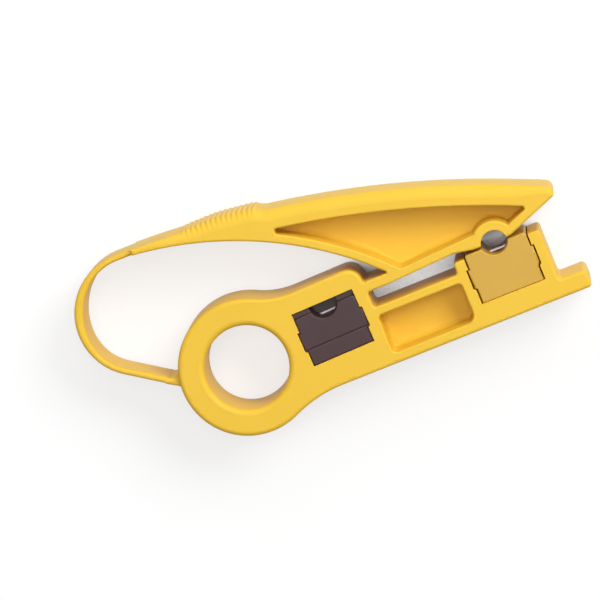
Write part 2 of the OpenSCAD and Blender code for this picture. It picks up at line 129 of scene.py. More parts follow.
class BodySizes(bpy.types.PropertyGroup):
    """The body between the ring and the tongue."""

    base_rise: length("Base rise", 4.3, "Height of the base line above the ring's lowest point")
    pocket_wall: length("Pocket wall", 5.0, "Wall between the finger hole and the spare pocket")
    slot_wall: length("Slot wall", 2.9, "Wall between the spare pocket and the flex slot")
    slot_length: length("Slot length", 21.8, "Length of the flex slot")
    slot_height: length("Slot height", 4.1, "Height of the flex slot")
    rail: length("Rail", 2.6, "Rail under the recess")
    recess: length("Recess height", 9.9, "Height of the recess")
    bar: length("Bar", 2.2, "Bar between recess and slot")
    inner_post: length("Inner post", 2.85, "Post on the arm's side of the seat")
    outer_post: length("Outer post", 3.05, "Post on the tongue's side of the seat")
    post_drop: length("Post drop", 0.65, "How far the posts stop below the cassette's top")
    seat_floor: length("Seat floor", 5.8, "Thickness under the seat")
    tongue_length: length("Tongue length", 6.9, "Length of the tongue")
    tongue_height: length("Tongue height", 4.5, "Height of the tongue")
    hump: length("Hump", 4.5, "Height of the stop hump above the neck")
    hump_radius: length("Hump radius", 3.8, "Radius of the stop hump")
    deck_tilt: turn("Deck slope", 1.2, "Slope of the deck from the ring to the hump")
    base_blend: length("Base blend", 32.0, "Radius from the ring into the base line")
    deck_blend: length("Deck blend", 20.0, "Radius from the ring into the deck")
    neck: length("Neck", 2.6, "Thickness of the flexing neck")
    neck_length: length("Neck length", 4.1, "Length of the flexing neck")
    neck_inset: length("Neck inset", 0.8, "How far the neck starts beyond the slot's end")
    notch: length("Notch", 1.5, "From the neck to the end of the notch under the arm")
    set_back: length("Set-back", 0.2, "How far hump and recess stand off the slot's end")
    tongue_corners: lengths("Tongue corners", (1.0, 1.2), "Radii of the tongue's lower and upper corner")
    corner: length("Corner", 0.8, "Radius of the posts' corners and of the slot's end at the seat")
    slot_corners: lengths("Slot corners", (0.9, 0.7), "Radii of the slot's two corners by the neck")
    notch_corner: length("Notch corner", 0.6, "Radius between the notch and the hump")
    recess_corners: lengths("Recess corners", (1.4, 2.2, 1.0, 1.0), "Radii of the recess's corners")


class ArmSizes(bpy.types.PropertyGroup):
    """The jaw arm and its thumb pad."""

    back: length("Back radius", 245.0, "Radius of the arm's back")
    crown: length("Crown", 37.2, "Height of the back's crown above the ring's axis")
    under: length("Underside radius", 92.0, "Radius of the underside from the loop to the neck")
    slot_rise: length("Slot rise", 0.95, "Rise of the underside along the slot")
    jaw_gap: length("Jaw gap", 0.6, "Gap between lip and cassette")
    lead: turn("Lead-in", 20.9, "Slope of the lead-in under the tip")
    tip_short: length("Tip set-back", 0.4, "How far the tip stops short of the tongue")
    groove: length("Groove radius", 3.3, "Radius of the jaw's cable groove")
    groove_drop: length("Groove drop", 0.5, "How far the groove's centre lies below the lip")
    back_rim: length("Back rim", 5.0, "Rim between the recess and the back")
    under_rim: length("Under rim", 2.2, "Rim between the recess and the underside")
    boss: length("Boss wall", 2.3, "Wall round the groove")
    lip_back: length("Lip back", 5.3, "How far the lip reaches from the groove's centre to the neck")
    lip_front: length("Lip front", 4.4, "How far the lip reaches from the groove's centre to the tip")
    lip_corner: length("Lip corner", 2.0, "Radius at both ends of the lip")
    slot_bend: length("Slot bend", 6.0, "Radius where the underside turns down to the lip")
    tip_corners: lengths("Tip corners", (0.9, 1.9), "Radii of the tip's lower and upper corner")
    notch_corner: length("Notch corner", 0.3, "Radius at the end of the notch")
    groove_edge: length("Groove edge", 0.25, "Rounding of the groove's edges")
    recess_lip: length("Recess lip", 0.45, "Rounding of the recess's rim")
    recess_start: length("Recess start", 43.8, "How far the recess starts in front of the underside's centre")
    pad_start: place("Pad start", -4.0, "Where the thumb pad starts")
    pad_length: length("Pad length", 22.7, "Length of the thumb pad")
    pad_height: length("Pad height", 0.85, "Height of the thumb pad")
    pad_rise: length("Pad rise", 12.0, "Length of the pad's rise")
    pad_fall: length("Pad fall", 3.5, "Length of the pad's fall")
    ridge_pitch: length("Ridge pitch", 1.3, "Spacing of the ridges")
    ridge_height: length("Ridge height", 0.3, "Height of the ridges")


class LoopSizes(bpy.types.PropertyGroup):
    """The spring loop at the arm's rear end."""

    back: length("Centre", 20.3, "Distance of the loop's centre behind the ring's axis")
    radius: length("Radius", 15.2, "Outer radius of the loop")
    middle: length("Middle thickness", 2.3, "Thickness at the loop's middle")
    low: length("Lower thickness", 1.55, "Thickness at the loop's foot")
    top: length("Upper thickness", 1.4, "Thickness where the loop meets the arm")
    width: length("Width", 14.8, "Width of the loop across the tool")
    leave: turn("Leaving angle", 236.0, "Where the straight foot leaves the circle")
    edge: length("Edge radius", 0.9, "Rounding of the loop's edges, measured across the tool")
    edge_share: share("Edge share", 0.42, "The same measured through the loop, as a share of its thickness")
    rear: length("Arm's rear end", 4.8, "How far the arm's rear end lies before the loop's centre")
    root: length("Root", 3.2, "Length of the foot that belongs to the ring")
    fillet: length("Root fillet", 2.0, "Fillet on each side of the root")


class CassetteSizes(bpy.types.PropertyGroup):
    """Both blade cassettes, their seats and their blades."""

    width: length("Width", 15.8, "Width of a cassette")
    height: length("Height", 12.4, "Height of a cassette")
    base: length("Base height", 4.35, "Height of the base")
    sink: length("Sink", 0.2, "How far the cassette's faces lie under the tool's")
    lug_top: length("Lug top", 8.7, "Height of the lugs' tops")
    lug: length("Lug", 0.55, "How far the lugs stand out")
    lug_foot: length("Lug foot", 0.65, "How far under the seam the lugs' slopes start")
    lug_over: length("Over the lugs", 0.25, "Clearance over the lugs in seat and pocket")
    lug_under: length("Under the lugs", 0.15, "Clearance under the lugs in seat and pocket")
    chamfer: length("Chamfer", 0.4, "Chamfer of the block's upper corners")
    groove: length("Groove radius", 3.5, "Radius of the cable groove")
    groove_depth: length("Groove depth", 2.5, "Depth of the cable groove")
    seat_clear: length("Seat clearance", 0.35, "Side clearance in the seat")
    pocket_clear: length("Pocket clearance", 0.1, "Side clearance in the spare pocket")
    pocket_height: length("Pocket height", 13.8, "Height of the spare pocket")
    pocket_floor: length("Pocket floor", 7.0, "Floor under the spare pocket")
    pocket_tilt: turn("Pocket slope", 1.5, "Slope of the spare pocket")
    lift: length("Lift", 0.05, "Gap under the sliding cassette")
    roof: length("Roof gap", 0.1, "Gap between the spare cassette and the pocket's roof")
    edge: length("Edge radius", 0.32, "Rounding of a cassette's edges")
    plate: length("Front plate", 0.8, "How far the spare cassette's set-back top lies under its face")
    seam: length("Seam edge", 0.4, "Rounding of the base's edge at a spare cassette's seam")
    closed_seam: length("Closed seam edge", 0.0, "The same where a working cassette is pressed shut")
    blade_length: length("Blade length", 11.0, "Length of a blade")
    blade: length("Blade thickness", 0.3, "Thickness of a blade")
    blade_out: length("Blade edge", 0.8, "How far the edge stands above the groove's bottom")
    blade_depth: length("Blade depth", 6.9, "Depth of the blade behind the tool's face")
    bevel: length("Bevel", 0.4, "Height of the ground bevel")


class FinishColours(bpy.types.PropertyGroup):
    """Colours as they look in even light."""

    moulding: paint("Moulding", "EDC240", "Warm golden yellow of the moulding")
    moulding_deep: paint("Moulding depth", "E8BB38", "The same yellow where it is a little denser")
    working: paint("Working cassette", "D0A436", "Greener yellow of the working cassette")
    working_deep: paint("Working cassette depth", "C79A2E", "Denser yellow of the working cassette")
    spare: paint("Spare cassette", "45292B", "Dark brown of the spare cassette")
    spare_deep: paint("Spare cassette depth", "3B2325", "Denser brown of the spare cassette")
    ground: paint("Ground edge", "E6E0DE", "Bright ground edge of a blade")
    blued: paint("Blued plate", "5A4747", "Dark blued steel of a blade's plate")
    floor: paint("Floor", "FFFFFF", "White card that the tool lies on")
    card: paint("Card bounce", "B4B4B8", "The card for light that bounces off it")
    # Painted shade: the colour that the card's glow is mixed towards deep in the tool's openings, not a shadow
    # cast by the lamps
    shade: paint("Card shade", "46383A", "The card where the tool keeps the light off it")


class StageSizes(bpy.types.PropertyGroup):
    """Camera, floor and lamps."""

    distance: length("Camera distance", 1067.0, "How far the camera is from the tool's face")
    lens: share("Lens", 264.0, "Focal length for a picture 36 mm wide")
    aim_x: place("Aim X", 18.3, "Point of the tool's face at the picture's centre")
    aim_y: place("Aim Y", 10.6, "The same, across the tool")
    lean_x: share("Lean X", 0.0473, "How far depth runs to the picture's right")
    lean_y: share("Lean Y", 0.1284, "How far depth runs up the picture")
    roll: turn("Roll", 21.74, "Slope of the tool's base line in the picture")
    # The glowing share of the card is evenly white in the open and carries painted shade deep in the tool's
    # openings
    glow: share("Card glow", 0.7, "Share of the white card that is evenly lit")
    room: share("Room", 0.3, "Strength of the even white room")
    # Reach of the painted shade in the card's glow round the tool, as the distance of its ambient occlusion
    contact: length("Contact shade", 14.0, "How far the tool shades the card around it")


# Points, arcs and outlines in the tool's plane, in metres


def direction(a):
    """The unit vector at angle a."""
    return np.array([math.cos(a), math.sin(a)])


def unit(v):
    return np.asarray(v, float) / np.linalg.norm(v)


def angle(v):
    return math.atan2(v[1], v[0])


def arc(c, r, a0, a1, chord=0.004 * MM):
    """Points c + r (cos a, sin a) for a from a0 to a1, close enough to hide the chords."""
    n = max(1, math.ceil(abs(a1 - a0) / (2 * math.acos(1 - min(chord / r, 0.02)))))
    a = np.linspace(a0, a1, n + 1)
    return np.asarray(c) + r * np.stack([np.cos(a), np.sin(a)], axis=1)


def short_arc(c, r, a0, a1):
    """The arc from a0 to a1 by the shorter way round."""
    return arc(c, r, a0, a0 + (a1 - a0 + 3 * math.pi) % (2 * math.pi) - math.pi)


def corner(a, p, b, r):
    """The corner p between a and b as an arc of radius r that touches both sides."""
    if r == 0:
        return np.array([p])
    u, v = unit(a - p), unit(b - p)
    half = math.acos(max(-1.0, min(1.0, float(u @ v)))) / 2
    c = p + unit(u + v) * r / math.sin(half)
    reach = r / math.tan(half)
    return short_arc(c, r, angle(p + u * reach - c), angle(p + v * reach - c))


def rounded(points, radii):
    """A closed outline with each corner rounded to its radius."""
    n = len(points)
    parts = [corner(points[i - 1], points[i], points[(i + 1) % n], radii[i]) for i in range(n)]
    return np.concatenate(parts)


def tidy(p):
    """Drops the points that repeat their neighbour."""
    return p[np.linalg.norm(p - np.roll(p, -1, axis=0), axis=1) > 1e-6]


def spread(p, step):
    """Extra points on long sides, for what bends or changes along them."""
    q = np.roll(p, -1, axis=0)
    pieces = np.maximum(1, np.ceil(np.linalg.norm(q - p, axis=1) / step)).astype(int)
    return np.concatenate([a + (b - a) * np.arange(k)[:, None] / k for a, b, k in zip(p, q, pieces)])


def inset(p, d):
    """Moves each side of an anticlockwise outline inwards by its own distance d and joins them again.
    Between sides with normals m and k the corner moves along (m + k) / (1 + m.k), and where the two
    distances differ it goes to the crossing of the two moved sides."""
    before = p - np.roll(p, 1, axis=0)
    after = np.roll(p, -1, axis=0) - p
    e = before / np.linalg.norm(before, axis=1, keepdims=True)
    f = after / np.linalg.norm(after, axis=1, keepdims=True)
    m = np.stack([-e[:, 1], e[:, 0]], axis=1)
    k = np.stack([-f[:, 1], f[:, 0]], axis=1)
    d_after = np.broadcast_to(d, len(p))
    d_before = np.roll(d_after, 1)
    dot = np.sum(m * k, axis=1)
    mean = (d_before + d_after) / 2
    move = mean[:, None] * (m + k) / (1 + dot)[:, None]
    cross = e[:, 0] * f[:, 1] - e[:, 1] * f[:, 0]
    apart = (np.abs(d_before - d_after) > 1e-9) & (np.abs(cross) > 0.3)
    safe = np.where(apart, cross, 1.0)
    exact = (d_before[:, None] * f - d_after[:, None] * e) / safe[:, None]
    return p + np.where(apart[:, None], exact, move)


def centre_through(p, q, r):
    """Centre of the circle of radius r through p and q, on the right of the way from p to q."""
    d = q - p
    u = unit(d)
    return (p + q) / 2 + math.sqrt(r * r - d @ d / 4) * np.array([u[1], -u[0]])


def line_circle(p, d, c, r, second=False):
    """Where the line p + t d meets the circle (c, r): the first or the second point."""
    q = np.asarray(p) - c
    b = float(q @ d)
    s = math.sqrt(b * b - float(q @ q) + r * r)
    return p + (s - b if second else -s - b) * d


def smooth(t):
    """3 t^2 - 2 t^3 between 0 and 1."""
    s = np.clip(t, 0, 1)
    return s * s * (3 - 2 * s)


# Surfaces


class Shell:
    """Collects grids and caps into one closed mesh. Each piece of surface is points and faces."""

    def __init__(self):
        self.points = []
        self.faces = []
        self.total = 0

    def add(self, points, faces):
        self.points.append(np.asarray(points, float))
        self.faces.append([tuple(int(i) + self.total for i in f) for f in faces])
        self.total += len(points)

    def strip(self, rows):
        """A grid of closed rows, each joined to the next. It faces outwards where the rows climb an outline
        that runs anticlockwise."""
        k, n = len(rows), len(rows[0])
        i, j = np.meshgrid(np.arange(k - 1), np.arange(n), indexing="ij")
        a, b = i * n + j, i * n + (j + 1) % n
        faces = np.stack([a, b, b + n, a + n], axis=-1).reshape(-1, 4)
        self.add(np.concatenate(rows), faces)

    def cap(self, outlines, z, up):
        """A flat face between an outer outline and the holes in it, at height z."""
        points = [Vector(p) for o in outlines for p in o]
        starts = np.cumsum([0] + [len(o) for o in outlines])
        loops = [list(range(int(s), int(e))) for s, e in zip(starts[:-1], starts[1:])]
        loops = [l if area(o) > 0 else l[::-1] for l, o in zip(loops, outlines)]
        loops = [loops[0]] + [l[::-1] for l in loops[1:]]
        edges = [(l[i], l[(i + 1) % len(l)]) for l in loops for i in range(len(l))]
        flat, _, faces, _, _, _ = delaunay_2d_cdt(points, edges, [], 1, 1e-9)
        rings = [np.asarray(o) for o in outlines]
        kept = []
        for f in faces:
            c = np.mean([flat[i][:] for i in f], axis=0)
            if inside(c, rings[0]) and not any(inside(c, h) for h in rings[1:]):
                kept.append(f if up else f[::-1])
        self.add([(p[0], p[1], z) for p in flat], kept)

    def build(self, name, material, seam=35.0):
        """The mesh object, with its doubles merged and edges sharper than the seam angle kept crisp."""
        mesh = bpy.data.meshes.new(name)
        mesh.from_pydata(np.concatenate(self.points).tolist(), [], [f for part in self.faces for f in part])
        obj = add_object(name, mesh)
        merge(mesh)
        mesh.shade_smooth()
        mesh.set_sharp_from_angle(angle=math.radians(seam))
        mesh.materials.append(material)
        return obj


def add_object(name, data):
    """A new object in the scene."""
    obj = bpy.data.objects.new(name, data)
    bpy.context.scene.collection.objects.link(obj)
    return obj


def merge(mesh):
    """Joins points less than a fifth of a micrometre apart, so that rows and caps become one skin."""
    bm = bmesh.new()
    bm.from_mesh(mesh)
    bmesh.ops.remove_doubles(bm, verts=bm.verts, dist=2e-7)
    bm.to_mesh(mesh)
    bm.free()


def area(p):
    """Signed area of an outline, positive when it runs anticlockwise."""
    q = np.roll(p, -1, axis=0)
    return float(np.sum(p[:, 0] * q[:, 1] - p[:, 1] * q[:, 0])) / 2


def inside(c, ring):
    """Whether c lies in the outline, by counting the sides that a ray to the right crosses."""
    x, y = ring[:, 0], ring[:, 1]
    u, v = np.roll(x, -1), np.roll(y, -1)
    cut = (y > c[1]) != (v > c[1])
    at = x + (c[1] - y) / np.where(v == y, 1, v - y) * (u - x)
    return bool(np.sum(cut & (c[0] < at)) % 2)


def level(p, z):
    """Points of an outline at height z, one height or one for each point."""
    return np.column_stack([p, np.broadcast_to(z, len(p))])


def rim_rows(outline, half, r, steps, deep=None, proud=0.0):
    """Rows from the wall over the rounded edge to the face: inset r (1 - cos a) at height
    half - deep (1 - sin a). What stands proud of the wall fades with cos a. r, deep and proud may differ
    from side to side."""
    r = np.broadcast_to(r, len(outline))
    deep = r if deep is None else np.broadcast_to(deep, len(outline))
    corner_deep = np.minimum(deep, np.roll(deep, 1))
    angles = np.linspace(0, math.pi / 2, steps + 1)
    rows = [level(inset(outline, r * (1 - math.cos(a)) - proud * math.cos(a)),
                  half - corner_deep * (1 - math.sin(a))) for a in angles]
    last = inset(outline, r + np.where(r > 0, FLAT_MARGIN, 0))
    return rows + [level(last, half)]


def through_wall(shell, outline, half, r, steps, deep=None, proud=0.0):
    """The wall of an outline from face to face with both edges rounded. Returns the outline left on the
    faces. A hole's outline runs clockwise, so the same rows open it outwards."""
    up = rim_rows(outline, half, r, steps, deep, proud)
    down = [row * [1, 1, -1] for row in up[::-1]]
    shell.strip(down + up)
    return up[-1][:, :2]


def bar(shell, outline, half, r, steps, deep=None):
    """A closed bar of an outline: its wall with rounded edges and a flat face at each end."""
    face = through_wall(shell, outline, half, r, steps, deep)
    shell.cap([face], half, True)
    shell.cap([face], -half, False)


def bar_object(name, material, outline, half, r, steps, deep=None):
    """A mesh object that is one bar."""
    shell = Shell()
    bar(shell, outline, half, r, steps, deep)
    return shell.build(name, material)


def floor_rounding(outline, radii, corners, least, tight, soft, growth):
    """Rounding between wall and floor for each side of a recess: least at the sharp corners, and growth
    times the way from the nearest one more, up to tight on the sides towards +X and +Y and to soft on the
    others."""
    along = np.roll(outline, -1, axis=0) - outline
    middle = outline + along / 2
    outwards = np.column_stack([along[:, 1], -along[:, 0]])
    outwards /= np.linalg.norm(along, axis=1, keepdims=True)
    most = tight + (soft - tight) * smooth(-outwards @ unit([0.6, 1.0]) + 0.3)
    away = np.linalg.norm(middle[:, None] - np.asarray(corners)[None], axis=2) - np.asarray(radii)[None]
    return np.clip(least + growth * np.min(away, axis=1), least, most)


def recess_wall(shell, outline, top, floor_z, lip, draft, floor_r, steps, side):
    """A recess from the face down: rounded lip, drafted wall and a rounded floor edge. The floor's rounding
    may differ from side to side. Returns its outlines on the face and on the floor."""
    q = outline
    lean = math.tan(draft)
    floor_r = np.broadcast_to(floor_r, len(q))
    corner_r = (floor_r + np.roll(floor_r, 1)) / 2
    quarter = np.linspace(0, math.pi / 2, steps + 1)
    rows = [level(inset(q, -lip - FLAT_MARGIN), top)]
    rows += [level(inset(q, -lip * (1 - math.cos(t))), top - lip * (1 - math.sin(t))) for t in quarter[::-1]]
    depth = top - lip - floor_z
    rows += [level(inset(q, lean * (depth - floor_r) + floor_r * (1 - math.cos(t))),
                   floor_z + corner_r * (1 - math.sin(t))) for t in quarter]
    rows += [level(inset(q, lean * (depth - floor_r) + floor_r + FLAT_MARGIN), floor_z)]
    rows = [r * [1, 1, side] for r in rows]
    shell.strip(rows if side < 0 else rows[::-1])
    return rows[0][:, :2], rows[-1][:, :2]


def recessed_faces(shell, at, faces, recess, floor_r, lip):
    """Both faces of the moulding between the given outlines, each with the recess in it down to the web."""
    m = at.m
    for side in (1, -1):
        top, floor = recess_wall(shell, recess, at.half, m.web / 2, lip, m.draft, floor_r, m.edge_steps, side)
        shell.cap(faces + [top], side * at.half, side > 0)
        shell.cap([floor], side * m.web / 2, side > 0)


# Layout of the tool, from the sizes above


def layout():
    """Heights, places and centres that follow from the sizes, stacked up from the ring's axis."""
    scene = bpy.context.scene
    m, ring, body = scene.moulding_sizes, scene.ring_sizes, scene.body_sizes
    arm, loop, cas = scene.arm_sizes, scene.loop_sizes, scene.cassette_sizes
    at = SimpleNamespace(m=m, ring=ring, body=body, arm=arm, loop=loop, cas=cas)
    at.half = m.thickness / 2
    at.ring_r = ring.hole + ring.wall
    at.base_y = body.base_rise - at.ring_r
    at.recess_y = at.base_y + body.rail
    at.slot_y = at.recess_y + body.recess + body.bar
    at.neck_y = at.slot_y + body.slot_height
    at.notch_y = at.neck_y + body.neck
    at.hump_y = at.notch_y + body.hump
    at.seat_y = at.base_y + body.seat_floor
    at.cas_top = at.seat_y + cas.lift + cas.height
    at.post_y = at.cas_top - body.post_drop
    at.tongue_y = at.base_y + body.tongue_height
    at.pocket_w = cas.width + 2 * cas.pocket_clear
    at.seat_w = cas.width + 2 * cas.seat_clear
    at.pocket = np.array([ring.hole + body.pocket_wall + at.pocket_w / 2, at.base_y + cas.pocket_floor])
    at.slot_x = ring.hole + body.pocket_wall + at.pocket_w + body.slot_wall
    at.slot_end = at.slot_x + body.slot_length
    at.seat = np.array([at.slot_end + body.inner_post + at.seat_w / 2, at.seat_y])
    at.post_end = at.slot_end + body.inner_post + at.seat_w + body.outer_post
    at.body_end = at.post_end + body.tongue_length
    at.neck_start = at.slot_x + body.neck_inset
    at.neck_end = at.neck_start + body.neck_length
    at.notch_end = at.neck_end + body.notch
    at.lip_y = at.cas_top + arm.jaw_gap
    at.groove = np.array([at.seat[0], at.lip_y - arm.groove_drop])
    at.back_c = np.array([-loop.back, arm.crown - arm.back])
    at.arm_rear = -loop.back + loop.rear
    at.tip_x = at.body_end - arm.tip_short
    at.lip_in, at.lip_out = at.seat[0] - arm.lip_back, at.seat[0] + arm.lip_front
    at.rear_low = np.array([at.arm_rear, back_at(at, at.arm_rear) - loop.top])
    at.under_c = centre_through(at.rear_low, np.array([at.notch_end, at.notch_y]), arm.under)
    at.loop_c = np.array([-loop.back, arm.crown - loop.radius])
    at.leave_dir = direction(loop.leave + math.pi / 2)
    at.leave = at.loop_c + (loop.radius - loop.low / 2) * direction(loop.leave)
    root = line_circle(at.leave, at.leave_dir, np.zeros(2), at.ring_r)
    at.strap_seam = float(np.linalg.norm(root - at.leave)) - loop.root
    at.blade_z = at.half - cas.blade_depth
    at.edge_y = cas.height - cas.groove_depth + cas.blade_out
    return at


def back_at(at, x, r=None):
    """Height of the arm's back at x: a circle of radius r about the back's centre."""
    r = at.arm.back if r is None else r
    return at.back_c[1] + np.sqrt(r * r - (x - at.back_c[0]) ** 2)


def pad_at(at, x):
    """Height of the thumb pad over the back: a long rise from the loop and a short fall to the jaw."""
    end = at.arm.pad_start + at.arm.pad_length
    rise = smooth((x - at.arm.pad_start) / at.arm.pad_rise)
    return at.arm.pad_height * rise * smooth((end - x) / at.arm.pad_fall)


def ridges_at(at, x):
    """Ridges across the pad: a rounded wave, (0.5 - 0.5 cos) ^ 0.8. It fades in over 2 mm from 1 mm past the
    pad's start, and out over 1 mm up to 2 mm before the pad's end."""
    first = at.arm.pad_start + 1 * MM
    last = at.arm.pad_start + at.arm.pad_length - 2 * MM
    fade = smooth((x - first) / (2 * MM)) * smooth((last - x) / (1 * MM))
    wave = 0.5 - 0.5 * np.cos(2 * math.pi * (last - x) / at.arm.ridge_pitch)
    return at.arm.ridge_height * fade * wave ** 0.8


def blend_centre(at, p, d, n, r):
    """Centre of a blend that touches the ring and the line p + t d, with n to its outer side."""
    q = p + n * r
    b = float(q @ d)
    reach = at.ring_r + r
    return q + (math.sqrt(b * b - float(q @ q) + reach * reach) - b) * d


def channel(at, clear, top):
    """What a cassette slides in: its outline with a clearance at the sides, standing on the floor."""
    cas = at.cas
    w = cas.width / 2 + clear
    g = w + cas.lug
    low = cas.base + cas.lift - cas.lug_foot - cas.lug_under
    high = cas.lug_top + cas.lug_over
    right = [[w, 0], [w, low], [g, low + cas.lug], [g, high], [w, high], [w, top]]
    return np.array(right), np.array([[-x, y] for x, y in right[::-1]])


# Pieces


def frame_outline(at):
    """The frame's outline, and for each of its sides the rounding of its edges."""
    b, m = at.body, at.m
    deck = direction(b.deck_tilt)
    up = np.array([-deck[1], deck[0]])
    hump = np.array([at.slot_x - b.set_back, at.hump_y])
    low_c = blend_centre(at, np.array([0, at.base_y]), np.array([1.0, 0]), np.array([0, -1.0]), b.base_blend)
    high_c = blend_centre(at, hump, deck, up, b.deck_blend)
    right, left = channel(at, at.cas.seat_clear, at.post_y - at.seat_y)
    thin = m.thin_edge
    seat = [(at.seat + p, 0.0, m.crisp) for side in (right, left) for p in side[::-1]]
    seat[-1] = (seat[-1][0], 0.0, thin)
    path = [
        (np.array([at.body_end, at.base_y]), b.tongue_corners[0], m.edge),
        (np.array([at.body_end, at.tongue_y]), b.tongue_corners[1], m.edge),
        (np.array([at.post_end, at.tongue_y]), b.corner, m.edge),
        (np.array([at.post_end, at.post_y]), b.corner, thin),
        *seat,
        (np.array([at.slot_end, at.post_y]), b.corner, thin),
        (np.array([at.slot_end, at.slot_y]), b.corner, thin),
        (np.array([at.slot_x, at.slot_y]), b.slot_corners[0], thin),
        (np.array([at.slot_x, at.neck_y]), b.slot_corners[1], thin),
        (np.array([at.neck_start, at.neck_y]), 0.0, 0.0),
        (np.array([at.neck_start, at.notch_y]), 0.0, thin),
        (np.array([hump[0], at.notch_y]), b.notch_corner, m.edge),
        (hump, b.hump_radius, m.edge),
    ]
    start = arc(low_c, b.base_blend, angle(-low_c), math.pi / 2)
    end = [arc(high_c, b.deck_blend, angle(-up), angle(-high_c)),
           arc([0, 0], at.ring_r, angle(high_c), angle(low_c) + 2 * math.pi)]
    whole = [(p, 0.0, m.edge) for p in start] + path + [(p, 0.0, m.edge) for part in end for p in part]
    points, radii = [w[0] for w in whole], [w[1] for w in whole]
    outline, edges = [], []
    for i, (p, r, edge) in enumerate(whole):
        part = corner(points[i - 1], p, points[(i + 1) % len(points)], radii[i])
        outline.append(part)
        edges += [min(whole[i - 1][2], edge) if r else edge] * (len(part) - 1) + [edge]
    outline, edges = np.concatenate(outline), np.array(edges)
    keep = np.linalg.norm(outline - np.roll(outline, -1, axis=0), axis=1) > 1e-6
    outline, edges = outline[keep], edges[keep]
    extra = at.ring.outer_edge - m.edge
    grown = smooth(1 - outline[:, 0] / at.ring.rim_fade) * extra
    return outline, edges + np.where(edges > 0, grown, 0)


def circle(c, r, clockwise=False):
    p = arc(c, r, 0, 2 * math.pi)[:-1]
    return p[::-1] if clockwise else p


def frame_recess(at):
    """The outline of the frame's recess and its floor's rounding."""
    x0, x1 = at.slot_x + at.body.set_back, at.slot_end
    y0, y1 = at.recess_y, at.recess_y + at.body.recess
    corners = [np.array(p) for p in ((x0, y0), (x1, y0), (x1, y1), (x0, y1))]
    radii = list(at.body.recess_corners)
    outline = spread(tidy(rounded(corners, radii)), 0.5 * MM)
    return outline, floor_rounding(outline, radii, corners, least=0.4 * MM, tight=0.8 * MM,
                                   soft=1.6 * MM, growth=0.4)


def strap_root(at, shell):
    """The short root of the loop's foot on the ring, with a fillet on each side. It ends inside the ring."""
    loop = at.loop
    buried, fillet = at.ring_r - 0.2 * MM, loop.fillet
    side = direction(loop.leave)
    start = at.leave + at.strap_seam * at.leave_dir
    half = side * loop.low / 2
    off = loop.low / 2 + fillet
    high, low = [line_circle(at.leave + n * off, at.leave_dir, np.zeros(2), buried + fillet)
                 for n in (-side, side)]
    parts = [
        np.array([start - half, start + half]),
        short_arc(low, fillet, angle(-side), angle(-low)),
        np.array([(at.ring_r - 3 * MM) * unit(c) for c in (low, high)]),
        short_arc(high, fillet, angle(-high), angle(side)),
    ]
    outline = tidy(np.concatenate(parts))
    edges = np.full(len(outline), loop.edge_share * loop.low)
    edges[0] = 0
    bar(shell, outline, loop.width / 2, edges, at.m.edge_steps, np.where(edges > 0, loop.edge, 0))


def make_frame(at, material):
    """Ring, body, posts and tongue: one wall round the outside, one for each hole, a recess in each face."""
    shell = Shell()
    m, steps = at.m, at.m.edge_steps
    outline, edges = frame_outline(at)
    faces = [through_wall(shell, outline, at.half, edges, steps)]
    faces.append(through_wall(shell, circle([0, 0], at.ring.hole, True), at.half, at.ring.edge, steps + 3))
    right, left = channel(at, at.cas.pocket_clear, at.cas.pocket_height)
    turned = np.concatenate([right, left]) @ rotation(at.cas.pocket_tilt).T + at.pocket
    faces.append(through_wall(shell, turned[::-1], at.half, m.crisp, 3))
    recessed_faces(shell, at, faces, *frame_recess(at), m.recess_lip)
    strap_root(at, shell)
    return shell.build("frame_moulding", material)


def rotation(a):
    return np.array([[math.cos(a), -math.sin(a)], [math.sin(a), math.cos(a)]])


def make_neck(at, material):
    """The flexing neck, with rounded long edges and flat ends that meet the frame and the arm."""
    corners = np.array([[at.neck_start, at.neck_y], [at.neck_end, at.neck_y],
                        [at.neck_end, at.notch_y], [at.neck_start, at.notch_y]])
    outline = spread(corners, 0.3 * MM)
    across = np.abs(outline[:, 0] - np.roll(outline[:, 0], -1)) < SAME
    edges = np.where(across, 0, at.m.thin_edge)
    return bar_object("neck_web", material, outline, at.half, edges, at.m.edge_steps)


def free(points):
    """Points of an outline with no rounding of their own."""
    return [(p, 0.0) for p in points]


